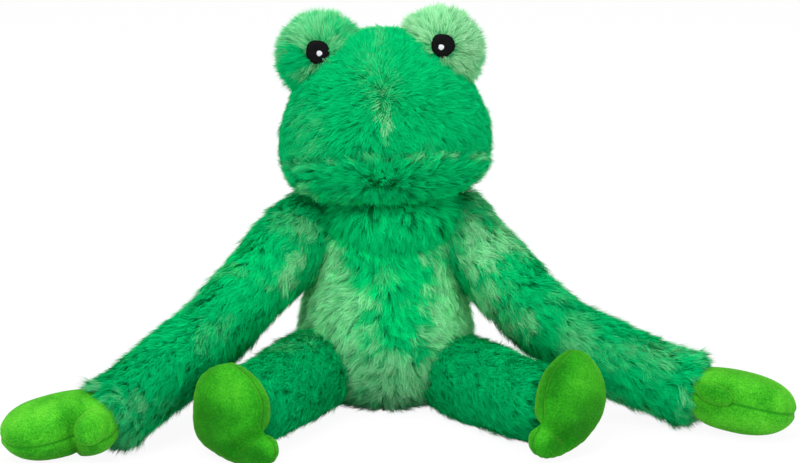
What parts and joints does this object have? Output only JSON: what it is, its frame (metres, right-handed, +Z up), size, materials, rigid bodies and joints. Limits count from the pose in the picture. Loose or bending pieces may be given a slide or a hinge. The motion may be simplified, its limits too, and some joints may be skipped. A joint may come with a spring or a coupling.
{
  "type": "plush frog toy",
  "caption": "Sitting plush frog with long arms and short legs: fur fabric skins over fibre filling, short-nap mitten hands and feet, jointed at its sewn seams.",
  "frame": {"origin": "middle of the whole toy's box, on the surface it sits on", "axes": "+Z up; +X to the viewer's right, along the spread arms; the frog faces -Y"},
  "size_m": [0.5716, 0.2326, 0.3014],
  "materials": {
    "fur_green": "long pile fur fabric, brushed, matt with a soft sheen",
    "fur_pale": "long pile fur fabric, paler green, brushed",
    "lime_cloth": "short-nap velour cloth",
    "black_felt": "matt felt",
    "pale_thread": "dense embroidery",
    "fibre": "loose polyester fibre"
  },
  "bodies": {
    "torso": {"torso_left": "fur_green", "torso_right": "fur_green", "torso_filling": "fibre"},
    "neck": {"neck_ball": "fur_green"},
    "head": {"head_crown": "fur_green", "head_jaw": "fur_green", "head_filling": "fibre", "eye_pad_left": "fur_pale", "eye_pad_right": "fur_pale", "eye_pad_filling_left": "fibre", "eye_pad_filling_right": "fibre", "eye_patch_left": "black_felt", "eye_patch_right": "black_felt", "eye_glint_left": "pale_thread", "eye_glint_right": "pale_thread"},
    "upper_arm_left": {"upper_arm_skin_left": "fur_green", "upper_arm_filling_left": "fibre"},
    "upper_arm_right": {"upper_arm_skin_right": "fur_green", "upper_arm_filling_right": "fibre"},
    "forearm_left": {"forearm_skin_left": "fur_green", "forearm_filling_left": "fibre"},
    "forearm_right": {"forearm_skin_right": "fur_green", "forearm_filling_right": "fibre"},
    "hand_left": {"hand_back_left": "lime_cloth", "hand_palm_left": "lime_cloth", "hand_filling_left": "fibre"},
    "hand_right": {"hand_back_right": "lime_cloth", "hand_palm_right": "lime_cloth", "hand_filling_right": "fibre"},
    "leg_left": {"leg_skin_left": "fur_green", "leg_filling_left": "fibre"},
    "leg_right": {"leg_skin_right": "fur_green", "leg_filling_right": "fibre"},
    "foot_left": {"foot_sole_left": "lime_cloth", "foot_upper_left": "lime_cloth", "foot_filling_left": "fibre"},
    "foot_right": {"foot_sole_right": "lime_cloth", "foot_upper_right": "lime_cloth", "foot_filling_right": "fibre"}
  },
  "joints": [
    {"name": "neck_turn", "type": "hinge", "parent": "torso", "child": "neck", "pos_m": [-0.01225, 0.05937, 0.147], "axis": [0, 0, 1], "range_deg": [-40, 40]},
    {"name": "head_nod", "type": "hinge", "parent": "neck", "child": "head", "pos_m": [-0.01225, 0.05937, 0.147], "axis": [0.9986, 0, 0.0523], "range_deg": [-12, 12]},
    {"name": "shoulder_left", "type": "hinge", "parent": "torso", "child": "upper_arm_left", "pos_m": [-0.07577, 0.05937, 0.1292], "axis": [-0.682, 0.7314, 0], "range_deg": [0, 48]},
    {"name": "shoulder_right", "type": "hinge", "parent": "torso", "child": "upper_arm_right", "pos_m": [0.04527, 0.05937, 0.1292], "axis": [-0.5736, -0.8191, 0], "range_deg": [0, 48]},
    {"name": "elbow_left", "type": "hinge", "parent": "upper_arm_left", "child": "forearm_left", "pos_m": [-0.13986, -0.00039, 0.07318], "axis": [-0.5607, 0.5706, 0.6], "range_deg": [-20, 50]},
    {"name": "elbow_right", "type": "hinge", "parent": "upper_arm_right", "child": "forearm_right", "pos_m": [0.11311, 0.01187, 0.0663], "axis": [-0.2205, -0.769, -0.6], "range_deg": [-20, 50]},
    {"name": "wrist_left", "type": "hinge", "parent": "forearm_left", "child": "hand_left", "pos_m": [-0.20763, -0.06699, 0.03092], "axis": [-0.3256, 0.9455, 0], "range_deg": [-25, 4]},
    {"name": "wrist_right", "type": "hinge", "parent": "forearm_right", "child": "hand_right", "pos_m": [0.20712, -0.01509, 0.03092], "axis": [-0.2924, -0.9563, 0], "range_deg": [-25, 4]},
    {"name": "hip_left", "type": "hinge", "parent": "torso", "child": "leg_left", "pos_m": [-0.06965, 0.02257, 0.033], "axis": [-0.9026, 0.4305, 0], "range_deg": [-45, 4]},
    {"name": "hip_right", "type": "hinge", "parent": "torso", "child": "leg_right", "pos_m": [0.03915, 0.02257, 0.033], "axis": [-0.7986, -0.6018, 0], "range_deg": [-45, 4]},
    {"name": "ankle_left", "type": "hinge", "parent": "leg_left", "child": "foot_left", "pos_m": [-0.11443, -0.0713, 0.033], "axis": [-0.8746, 0.4848, 0], "range_deg": [-20, 15]},
    {"name": "ankle_right", "type": "hinge", "parent": "leg_right", "child": "foot_right", "pos_m": [0.10174, -0.06048, 0.033], "axis": [-0.866, -0.5, 0], "range_deg": [-20, 15]}
  ]
}
